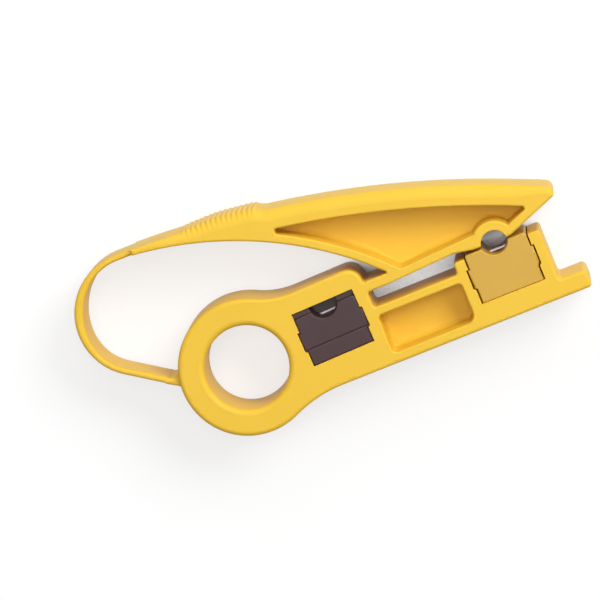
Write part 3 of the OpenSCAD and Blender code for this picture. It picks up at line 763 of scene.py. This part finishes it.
def arm_outline(at):
    """The arm's outline, the rounding of each side's edges, and the height of the pad's ridges at each point.
    The edges are thin below, grow towards the back, and fade to the rear end and to the tip."""
    arm, m = at.arm, at.m
    lead_y = at.lip_y + (at.tip_x - at.lip_out) * math.tan(arm.lead)
    pad_end = arm.pad_start + arm.pad_length
    lip_x = at.groove[0] - math.sqrt(arm.groove ** 2 - arm.groove_drop ** 2)
    dip = math.atan2(arm.groove_drop, lip_x - at.groove[0])
    groove = short_arc(at.groove, arm.groove, dip, math.pi / 2)
    groove2 = short_arc(at.groove, arm.groove, math.pi / 2, math.pi - dip)
    front = np.linspace(at.tip_x - 3 * MM, pad_end, 90)[:-1]
    pad = np.arange(pad_end, arm.pad_start, -arm.ridge_pitch / 14)
    rear = np.linspace(arm.pad_start, at.arm_rear, 20)
    corner_p = np.array([at.notch_end, at.notch_y])
    under = arc(at.under_c, arm.under, angle(at.rear_low - at.under_c), angle(corner_p - at.under_c))
    whole = [
        ((at.neck_end, at.neck_y), 0.0),
        ((at.slot_end + 1 * MM, at.neck_y + arm.slot_rise), arm.slot_bend),
        ((at.lip_in, at.lip_y), arm.lip_corner),
        *free(groove),
        *free(groove2[1:]),
        ((at.lip_out, at.lip_y), arm.lip_corner),
        ((at.tip_x, lead_y), arm.tip_corners[0]),
        ((at.tip_x, back_at(at, at.tip_x)), arm.tip_corners[1]),
        *free(np.column_stack([front, back_at(at, front)])),
        *free(np.column_stack([pad, back_at(at, pad) + pad_at(at, pad)])),
        *free(np.column_stack([rear, back_at(at, rear)])),
        *free(under[:-3]),
        (corner_p, arm.notch_corner),
        ((at.neck_end, at.notch_y), 0.0),
    ]
    outline = tidy(rounded([np.asarray(p, float) for p, _ in whole], [r for _, r in whole]))
    nxt = np.roll(outline, -1, axis=0)
    seam = (np.abs(outline[:, 0] - at.neck_end) < SAME) & (np.abs(nxt[:, 0] - at.neck_end) < SAME)
    middle = (outline + nxt) / 2
    x, y = middle[:, 0], middle[:, 1]
    in_groove = np.abs(np.linalg.norm(middle - at.groove, axis=1) - arm.groove) < 0.01 * MM
    on_back = smooth((y - back_at(at, x) + 2.2 * MM) / (2 * MM))
    tail = smooth((x - at.arm_rear) / (22 * MM))
    tip = smooth((at.tip_x - x) / (9 * MM))
    thin = m.thin_edge * (0.8 + 0.2 * smooth((x - at.arm_rear) / (3 * MM)))
    full = thin + (m.back_edge - m.thin_edge) * on_back * tail * (0.45 + 0.55 * tip)
    edges = np.where(in_groove, arm.groove_edge, full)
    on_pad = outline[:, 1] > back_at(at, outline[:, 0]) - 0.1 * MM
    return outline, np.where(seam, 0.0, edges), np.where(on_pad, ridges_at(at, outline[:, 0]), 0.0)


def arm_recess(at):
    """The outline of the arm's recess between the back, the underside, the boss round the groove and the
    lead-in, and its floor's rounding."""
    arm = at.arm
    slot_dir = unit([at.slot_end + 1 * MM - at.neck_end, arm.slot_rise])
    floor_p = np.array([at.neck_end, at.neck_y]) + arm.under_rim * np.array([-slot_dir[1], slot_dir[0]])
    low_r, high_r = arm.under + arm.under_rim, arm.back - arm.back_rim
    boss_r = arm.groove + arm.boss
    lead = direction(arm.lead)
    lead_p = np.array([at.lip_out, at.lip_y]) + arm.boss * np.array([-lead[1], lead[0]])
    turn_p = line_circle(floor_p, slot_dir, at.under_c, low_r, True)
    boss_l = line_circle(floor_p, slot_dir, at.groove, boss_r)
    boss_e = line_circle(lead_p - 8 * MM * lead, lead, at.groove, boss_r, True)
    tip_p = line_circle(lead_p, lead, at.back_c, high_r, True)
    end_x = at.under_c[0] + arm.recess_start
    end_low = np.array([end_x, at.under_c[1] + math.sqrt(low_r ** 2 - (end_x - at.under_c[0]) ** 2)])
    end_high = np.array([end_x, back_at(at, end_x, high_r)])
    before = arc(at.under_c, low_r, angle(end_low - at.under_c), angle(turn_p - at.under_c))
    after = arc(at.back_c, high_r, angle(tip_p - at.back_c), angle(end_high - at.back_c))
    boss = arc(at.groove, boss_r, angle(boss_l - at.groove), angle(boss_e - at.groove))
    whole = [(end_low, 0.45 * MM), *free(before[2:-3]), (turn_p, 1.2 * MM), *free(boss), (tip_p, 0.6 * MM),
             *free(after[2:-2]), (end_high, 0.45 * MM)]
    outline = spread(tidy(rounded([p for p, _ in whole], [r for _, r in whole])), 0.7 * MM)
    corners = [end_low, turn_p, tip_p, end_high, boss_l, boss_e]
    reach = [0.8 * MM, 1.2 * MM, 0.8 * MM, 0.8 * MM, 0, 0]
    return outline, floor_rounding(outline, reach, corners, least=0.12 * MM, tight=0.7 * MM,
                                   soft=1.4 * MM, growth=0.2)


def make_arm(at, material):
    """The jaw arm: one wall round the outside, with pad, groove and tip in it, and a recess in each face."""
    shell = Shell()
    outline, edges, ridges = arm_outline(at)
    face = through_wall(shell, outline, at.half, edges, at.m.edge_steps + 3, proud=ridges)
    recessed_faces(shell, at, [face], *arm_recess(at), at.arm.recess_lip)
    return shell.build("arm_moulding", material)


def loop_thickness(at, a):
    """Thickness of the loop at angle a: thin at the arm, thickest at its middle, thinner at its foot."""
    loop = at.loop
    middle = math.radians(160)
    rise = loop.top + (loop.middle - loop.top) * smooth((a - math.radians(85)) / math.radians(75))
    fall = loop.middle + (loop.low - loop.middle) * smooth((a - middle) / math.radians(65))
    return np.where(a < middle, rise, fall)


def make_loop(at, material):
    """The loop as a band: outer and inner sides along the arc and the straight foot, with rounded edges."""
    loop = at.loop
    side = direction(loop.leave) * loop.low / 2
    foot = at.leave + at.strap_seam * at.leave_dir
    a = np.linspace(math.pi / 2, loop.leave, 140)
    ring = np.stack([np.cos(a), np.sin(a)], axis=1)
    top_x = np.linspace(at.arm_rear, -loop.back, 12)
    top = np.column_stack([top_x, back_at(at, top_x)])[:-1]
    outer = at.loop_c + loop.radius * ring
    inner = at.loop_c + (loop.radius - loop_thickness(at, a))[:, None] * ring
    low_x = top_x[::-1][1:-1]
    t = ((low_x + loop.back) / (at.arm_rear + loop.back))[:, None]
    low = (1 - t) * inner[0] + t * at.rear_low
    parts = [top, outer, np.array([foot + side, foot - side]), inner[::-1], low, [at.rear_low]]
    outline = spread(tidy(np.concatenate(parts)), 0.6 * MM)
    nxt = np.roll(outline, -1, axis=0)
    at_arm = (np.abs(outline[:, 0] - at.arm_rear) < SAME) & (np.abs(nxt[:, 0] - at.arm_rear) < SAME)
    at_foot = np.abs((outline - foot) @ at.leave_dir) + np.abs((nxt - foot) @ at.leave_dir) < SAME
    middle = (outline + nxt) / 2
    around = np.arctan2(middle[:, 1] - at.loop_c[1], middle[:, 0] - at.loop_c[0]) % (2 * math.pi)
    local = np.where(middle[:, 0] > -loop.back, np.where(middle[:, 1] > at.loop_c[1], loop.top, loop.low),
                     loop_thickness(at, np.minimum(around, loop.leave)))
    edges = np.where(at_arm | at_foot, 0, loop.edge_share * local)
    deep = np.where(edges > 0, loop.edge, 0)
    return bar_object("loop_band", material, outline, loop.width / 2, edges, at.m.edge_steps, deep)


def placed(obj, origin, tilt, depth=0.0):
    """Moves a mesh to its seat: turned by tilt about Z, then set on the seat's floor and at a depth."""
    obj.data.transform(Matrix.Translation((*origin, depth)) @ Matrix.Rotation(tilt, 4, "Z"))
    return obj


def mirrored(right):
    """A closed anticlockwise outline from its right half and the left half that mirrors it."""
    return np.array(right + [(-x, y) for x, y in right[::-1]])


def cassette_block(at, name, material, origin, tilt, seam):
    """The block: an outline with lugs and the round cable groove, its edges broken, through the tool."""
    cas = at.cas
    w, g = cas.width / 2, cas.width / 2 + cas.lug
    centre = np.array([0, cas.height + cas.groove - cas.groove_depth])
    reach = math.sqrt(cas.groove ** 2 - (centre[1] - cas.height) ** 2)
    end = math.atan2(cas.height - centre[1], reach)
    dip = arc(centre, cas.groove, end, -math.pi - end)
    right = [(g, cas.base), (g, cas.lug_top), (w, cas.lug_top), (w, cas.height - cas.chamfer),
             (w - cas.chamfer, cas.height)]
    both = mirrored(right)
    outline = tidy(np.concatenate([both[:5], dip, both[5:]])) + [0, cas.lift]
    edges = np.full(len(outline), cas.edge)
    edges[-1] = min(seam, cas.lift)
    return placed(bar_object(name, material, outline, at.half - cas.sink, edges, 5), origin, tilt)


def cassette_base(at, name, material, origin, tilt, seam):
    """The base: the cassette's lowest part, up to the seam, with the lugs' sloping undersides."""
    cas = at.cas
    w, g = cas.width / 2, cas.width / 2 + cas.lug
    low = cas.base - cas.lug_foot
    outline = mirrored([(w, 0), (w, low), (g, low + cas.lug), (g, cas.base)]) + [0, cas.lift]
    edges = np.full(len(outline), cas.edge)
    edges[3] = seam
    return placed(bar_object(name, material, outline, at.half - cas.sink, edges, 5), origin, tilt)


def spare_top(at):
    """The spare cassette's set-back top under the pocket's roof: a cheek on each side of the groove and a
    web across it behind the blade, each an outline with the two heights between which it runs. Each
    reaches 0.05 mm into the block."""
    cas = at.cas
    sunk = 0.05 * MM
    top, bottom = cas.pocket_height - cas.roof, cas.height + cas.lift - sunk
    centre_y = cas.height + cas.lift + cas.groove - cas.groove_depth
    y = np.linspace(top, bottom, 8)
    inner = np.column_stack([np.sqrt(cas.groove ** 2 - (y - centre_y) ** 2), y])
    side = cas.width / 2 - 0.02 * MM
    cheek = np.concatenate([[(side, bottom), (side, top)], inner])
    end = math.asin((top - centre_y) / cas.groove)
    web = arc((0, centre_y), cas.groove + sunk, math.pi - end, 2 * math.pi + end)
    deep = at.half - cas.sink - cas.plate
    return (("right_cheek", cheek, -deep, deep), ("left_cheek", (cheek * [-1, 1])[::-1], -deep, deep),
            ("web", web, -at.m.web / 2, at.blade_z - cas.blade))


def spare_piece(at, name, material, outline, low, high):
    """A plain block between two heights, its edges just broken, set in the spare pocket."""
    obj = bar_object(name, material, outline, (high - low) / 2, at.m.crisp, 4)
    return placed(obj, at.pocket, at.cas.pocket_tilt, (low + high) / 2)


def blade_plate(at, name, material, origin, tilt):
    """A blade: its section, ground to an edge from both sides, carried along its length in steps. The
    attribute ground is 1 on the ground strip at the edge and 0 on the blued plate under it."""
    cas = at.cas
    t, top, foot = cas.blade / 2, at.edge_y + cas.lift, cas.base + cas.lift
    strip = top - cas.bevel
    plate = strip - 0.02 * MM
    section = np.array([[foot, -t], [plate, -t], [strip, -t], [top, -t / 5],
                        [top, t / 5], [strip, t], [plate, t], [foot, t]])
    x = np.linspace(-cas.blade_length / 2, cas.blade_length / 2, 45)
    rows = [np.column_stack([np.full(len(section), u), section[:, 0], section[:, 1] + at.blade_z]) for u in x]
    ends = tuple(range(len(section)))
    shell = Shell()
    shell.strip(rows)
    shell.add(rows[0], [ends])
    shell.add(rows[-1], [ends[::-1]])
    obj = shell.build(name, material, 20.0)
    ground = obj.data.attributes.new("ground", "FLOAT", "POINT")
    places = np.empty(3 * len(obj.data.vertices))
    obj.data.vertices.foreach_get("co", places)
    ground.data.foreach_set("value", (places.reshape(-1, 3)[:, 1] > (plate + strip) / 2).astype(float))
    return placed(obj, origin, tilt)


# Materials


def linear(value):
    """An sRGB hex value as linear light: c / 12.92 below 0.04045, else ((c + 0.055) / 1.055) ^ 2.4."""
    c = np.array([int(value[i:i + 2], 16) for i in (0, 2, 4)]) / 255
    c = np.where(c <= 0.04045, c / 12.92, ((c + 0.055) / 1.055) ** 2.4)
    return (*c.tolist(), 1.0)


def add_node(tree, kind, settings=None, links=None):
    """Adds a node, sets its attributes and sockets by name or number, and links its inputs. On a colour mix
    the sockets 0, 6 and 7 are the share and the two colours, and output 2 is the mixed colour."""
    node = tree.nodes.new(kind)
    for key, value in (settings or {}).items():
        if isinstance(key, str) and hasattr(node, key):
            setattr(node, key, value)
        else:
            node.inputs[key].default_value = value
    for key, source in (links or {}).items():
        tree.links.new(source, node.inputs[key])
    return node


def new_material(name):
    """An empty material with its node tree and its shader."""
    material = bpy.data.materials.new(name)
    material.use_nodes = True
    return material, material.node_tree, material.node_tree.nodes["Principled BSDF"]


def fine_surface(tree, shader, pattern, low, high, strength, depth):
    """Lets one pattern vary the roughness between low and high and raise the surface a little."""
    gloss = add_node(tree, "ShaderNodeMapRange", {"To Min": low, "To Max": high}, {"Value": pattern})
    tree.links.new(gloss.outputs["Result"], shader.inputs["Roughness"])
    bump = add_node(tree, "ShaderNodeBump", {"Strength": strength, "Distance": depth}, {"Height": pattern})
    tree.links.new(bump.outputs["Normal"], shader.inputs["Normal"])


def moulded_plastic(name, colour, deep, roughness, grain_mm, shine):
    """Injection-moulded plastic from a spark-eroded tool: even colour with faint flow clouds about 12 mm
    across, a fine matt grain, and a soft sheen. Acetal and nylon have an IOR near 1.5."""
    material, tree, shader = new_material(name)
    where = add_node(tree, "ShaderNodeTexCoord").outputs["Object"]
    clouds = add_node(tree, "ShaderNodeTexNoise", {"Scale": 1 / (12 * MM), "Detail": 3.0, "Roughness": 0.55},
                      {"Vector": where})
    mix = add_node(tree, "ShaderNodeMix", {"data_type": "RGBA", 6: linear(colour), 7: linear(deep)},
                   {0: clouds.outputs["Fac"]})
    tree.links.new(mix.outputs[2], shader.inputs["Base Color"])
    grain = add_node(tree, "ShaderNodeTexNoise",
                     {"Scale": 1 / (grain_mm * MM), "Detail": 4.0, "Roughness": 0.6}, {"Vector": where})
    fine_surface(tree, shader, grain.outputs["Fac"], roughness - 0.04, roughness + 0.06, 0.25, 0.02 * MM)
    shader.inputs["IOR"].default_value = 1.49
    shader.inputs["Specular IOR Level"].default_value = shine
    return material


def blade_steel(name, ground, plate):
    """Hardened blade steel: the plate is blued dark, and its edge is ground bright, with lines along the
    blade about 0.16 mm apart. The attribute ground says which is which."""
    material, tree, shader = new_material(name)
    shader.inputs["Metallic"].default_value = 0.6
    strip = add_node(tree, "ShaderNodeAttribute", {"attribute_name": "ground"}).outputs["Fac"]
    mix = add_node(tree, "ShaderNodeMix", {"data_type": "RGBA", 6: linear(plate), 7: linear(ground)},
                   {0: strip})
    tree.links.new(mix.outputs[2], shader.inputs["Base Color"])
    where = add_node(tree, "ShaderNodeTexCoord").outputs["Object"]
    stretch = add_node(tree, "ShaderNodeMapping", {"Scale": (0.05, 1.0, 1.0)}, {"Vector": where})
    lines = add_node(tree, "ShaderNodeTexNoise", {"Scale": 1 / (0.16 * MM), "Detail": 3.0},
                     {"Vector": stretch.outputs["Vector"]})
    fine_surface(tree, shader, lines.outputs["Fac"], 0.42, 0.62, 0.3, 0.01 * MM)
    return material


def moulding_plastic():
    """The yellow acetal, made once and shared by all parts of the moulding."""
    c = bpy.context.scene.finish_colours
    name = "satin_yellow_acetal"
    return bpy.data.materials.get(name) or moulded_plastic(name, c.moulding, c.moulding_deep, 0.44, 0.35, 0.2)


# Operators


class STRIPPER_OT_frame(bpy.types.Operator):
    """Model the finger ring, the body, the posts and the tongue"""

    bl_idname = "stripper.frame"
    bl_label = "Frame"

    def execute(self, context):
        obj = make_frame(layout(), moulding_plastic())
        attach(obj, "frame")
        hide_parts("frame")
        return {"FINISHED"}


class STRIPPER_OT_neck(bpy.types.Operator):
    """Model the thin neck that flexes between the frame and the arm"""

    bl_idname = "stripper.neck"
    bl_label = "Neck"

    def execute(self, context):
        at = layout()
        obj = make_neck(at, moulding_plastic())
        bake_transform(obj)
        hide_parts("hinge_web")
        return {"FINISHED"}


class STRIPPER_OT_arm(bpy.types.Operator):
    """Model the jaw arm with its thumb pad, recesses and cable groove"""

    bl_idname = "stripper.arm"
    bl_label = "Jaw arm"

    def execute(self, context):
        obj = make_arm(layout(), moulding_plastic())
        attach(obj, "jaw_arm")
        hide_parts("jaw_arm")
        return {"FINISHED"}


class STRIPPER_OT_loop(bpy.types.Operator):
    """Model the spring loop that joins the arm's rear end to the ring"""

    bl_idname = "stripper.loop"
    bl_label = "Spring loop"

    def execute(self, context):
        at = layout()
        obj = make_loop(at, moulding_plastic())
        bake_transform(obj)
        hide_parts("spring_loop")
        return {"FINISHED"}


class STRIPPER_OT_cassettes(bpy.types.Operator):
    """Model the working and the spare cassette, each a block on a base, and the spare one's set-back top"""

    bl_idname = "stripper.cassettes"
    bl_label = "Cassettes"

    def execute(self, context):
        at = layout()
        c = context.scene.finish_colours
        yellow = moulded_plastic("satin_olive_yellow_nylon", c.working, c.working_deep, 0.4, 0.3, 0.5)
        brown = moulded_plastic("satin_brown_nylon", c.spare, c.spare_deep, 0.36, 0.3, 0.4)
        for which, material, origin, tilt, seam in (
            ("blade", yellow, at.seat, 0.0, at.cas.closed_seam),
            ("spare", brown, at.pocket, at.cas.pocket_tilt, at.cas.seam),
        ):
            for part, make in (("block", cassette_block), ("base", cassette_base)):
                obj = make(at, f"{which}_cassette_{part}_moulding", material, origin, tilt, seam)
                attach(obj, f"{which}_cassette")
                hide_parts(f"{which}_cassette_{part}")
        for part, outline, low, high in spare_top(at):
            obj = spare_piece(at, f"spare_cassette_{part}", brown, outline, low, high)
            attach(obj, "spare_cassette")
        return {"FINISHED"}


class STRIPPER_OT_blades(bpy.types.Operator):
    """Model the two ground blades"""

    bl_idname = "stripper.blades"
    bl_label = "Blades"

    def execute(self, context):
        at = layout()
        c = context.scene.finish_colours
        steel = blade_steel("blued_ground_blade_steel", c.ground, c.blued)
        for which, origin, tilt in (("blade", at.seat, 0.0), ("spare", at.pocket, at.cas.pocket_tilt)):
            obj = blade_plate(at, f"{which}_cassette_ground_blade", steel, origin, tilt)
            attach(obj, f"{which}_cassette")
            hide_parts(f"{which}_cassette_blade")
        return {"FINISHED"}


class STRIPPER_OT_stage(bpy.types.Operator):
    """Set up the white floor, the camera and the soft studio light"""

    bl_idname = "stripper.stage"
    bl_label = "Stage"

    def execute(self, context):
        at = layout()
        make_floor(at)
        make_camera(at)
        make_lights()
        return {"FINISHED"}


def make_floor(at):
    """A wide sheet of white card under the tool. What looks at it sees it glow evenly white, with painted
    shade, darker and warmer, mixed into that glow deep in the tool's openings, where ambient occlusion finds
    the tool close round the card. Light that bounces off it meets plain grey card."""
    colours = bpy.context.scene.finish_colours
    stage = bpy.context.scene.stage_sizes
    mesh = bpy.data.meshes.new("floor")
    r = 4.0
    corners = [(-r, -r, -at.half), (r, -r, -at.half), (r, r, -at.half), (-r, r, -at.half)]
    mesh.from_pydata(corners, [], [(0, 1, 2, 3)])
    floor = add_object("floor", mesh)
    material, tree, shader = new_material("white_card")
    shader.inputs["Roughness"].default_value = 0.9
    seen = add_node(tree, "ShaderNodeLightPath")
    direct = add_node(tree, "ShaderNodeMath", {"operation": "MAXIMUM"},
                      {0: seen.outputs["Is Camera Ray"], 1: seen.outputs["Is Transmission Ray"]})
    rays = add_node(tree, "ShaderNodeMath", {"operation": "MAXIMUM"},
                    {0: direct.outputs["Value"], 1: seen.outputs["Is Glossy Ray"]}).outputs["Value"]
    card = add_node(tree, "ShaderNodeMix",
                    {"data_type": "RGBA", 6: linear(colours.card), 7: linear(colours.floor)}, {0: rays})
    tree.links.new(card.outputs[2], shader.inputs["Base Color"])
    # Painted shade: ambient occlusion within the contact distance, mapped to light, mixes the glow from white
    # towards the shade colour deep in the tool's openings
    open_sky = add_node(tree, "ShaderNodeAmbientOcclusion", {"Distance": stage.contact, "samples": 16})
    light = add_node(tree, "ShaderNodeMapRange",
                     {"interpolation_type": "SMOOTHSTEP", "From Min": 0.06, "From Max": 0.17},
                     {"Value": open_sky.outputs["AO"]})
    glow_with_painted_shade = add_node(tree, "ShaderNodeEmission", {"Strength": 1.0})
    shade = add_node(tree, "ShaderNodeMix",
                     {"data_type": "RGBA", 6: linear(colours.shade), 7: linear(colours.floor)},
                     {0: light.outputs["Result"]})
    tree.links.new(shade.outputs[2], glow_with_painted_shade.inputs["Color"])
    glow = add_node(tree, "ShaderNodeMath", {"operation": "MULTIPLY", 1: stage.glow}, {0: rays})
    mix = add_node(tree, "ShaderNodeMixShader", {}, {"Fac": glow.outputs["Value"], 1: shader.outputs["BSDF"],
                                                     2: glow_with_painted_shade.outputs["Emission"]})
    tree.links.new(mix.outputs["Shader"], tree.nodes["Material Output"].inputs["Surface"])
    mesh.materials.append(material)


def camera_axes(stage):
    """The tool's X, Y and Z as the camera sees them: right, up and backwards."""
    z = unit([-stage.lean_x, -stage.lean_y, math.sqrt(1 - stage.lean_x ** 2 - stage.lean_y ** 2)])
    flat = np.array([math.cos(stage.roll), math.sin(stage.roll), 0])
    x = unit([flat[0], flat[1], -(flat @ z) / z[2]])
    return x, np.cross(z, x), z


def make_camera(at):
    """A long lens almost straight above the tool, turned so that the tool slopes up to the right."""
    stage = bpy.context.scene.stage_sizes
    x, y, z = camera_axes(stage)
    data = bpy.data.cameras.new("camera")
    data.lens = stage.lens
    data.sensor_width = 36.0
    data.clip_start, data.clip_end = 0.05, 20.0
    camera = add_object("camera", data)
    turn_to_world = Matrix((x.tolist(), y.tolist(), z.tolist()))
    aim = Vector((stage.aim_x, stage.aim_y, at.half))
    back = turn_to_world @ Vector((0, 0, 1))
    camera.matrix_world = Matrix.Translation(aim + back * stage.distance) @ turn_to_world.to_4x4()
    bpy.context.scene.camera = camera


def add_lamp(name, where, target, size, power):
    """A square soft box at a place, facing the target."""
    data = bpy.data.lights.new(name, "AREA")
    data.shape = "SQUARE"
    data.size = size
    data.energy = power
    lamp = add_object(name, data)
    lamp.location = where
    lamp.rotation_mode = "QUATERNION"
    lamp.rotation_quaternion = (Vector(target) - Vector(where)).to_track_quat("-Z", "Y")


def make_lights():
    """A soft box beyond the jaw's end, one over the tool, one beyond the arm's back, and a white room."""
    target = (0.03, 0.01, 0.0)
    add_lamp("key_box", (0.90, 0.46, 0.95), target, 0.7, 12.6)
    add_lamp("front_box", (0.06, 0.16, 1.38), target, 0.6, 5.0)
    add_lamp("top_box", (0.35, 1.15, 0.75), target, 0.8, 4.8)
    world = bpy.data.worlds.new("room")
    bpy.context.scene.world = world
    world.use_nodes = True
    light = world.node_tree.nodes["Background"].inputs
    light["Color"].default_value = (1, 1, 1, 1)
    light["Strength"].default_value = bpy.context.scene.stage_sizes.room
    bpy.context.scene.view_settings.view_transform = "Standard"


class STRIPPER_PT_panel(bpy.types.Panel):
    """Lists the pieces in the order in which they are made"""

    bl_label = "Cable stripper"
    bl_idname = "STRIPPER_PT_panel"
    bl_space_type = "VIEW_3D"
    bl_region_type = "UI"
    bl_category = "Stripper"

    def draw(self, context):
        for operator in OPERATORS:
            self.layout.operator(operator.bl_idname)


GROUPS = {
    "moulding_sizes": MouldingSizes,
    "ring_sizes": RingSizes,
    "body_sizes": BodySizes,
    "arm_sizes": ArmSizes,
    "loop_sizes": LoopSizes,
    "cassette_sizes": CassetteSizes,
    "finish_colours": FinishColours,
    "stage_sizes": StageSizes,
}
OPERATORS = (
    STRIPPER_OT_frame,
    STRIPPER_OT_neck,
    STRIPPER_OT_arm,
    STRIPPER_OT_loop,
    STRIPPER_OT_cassettes,
    STRIPPER_OT_blades,
    STRIPPER_OT_stage,
)


def register():
    for cls in (*GROUPS.values(), *OPERATORS, STRIPPER_PT_panel):
        bpy.utils.register_class(cls)
    for name, group in GROUPS.items():
        setattr(bpy.types.Scene, name, PointerProperty(type=group))


def unregister():
    for name in GROUPS:
        delattr(bpy.types.Scene, name)
    for cls in reversed((*GROUPS.values(), *OPERATORS, STRIPPER_PT_panel)):
        bpy.utils.unregister_class(cls)


def main():
    """Makes every piece and the stage."""
    register()
    for operator in OPERATORS:
        group, name = operator.bl_idname.split(".")
        getattr(getattr(bpy.ops, group), name)()


if __name__ == "__main__":
    main()
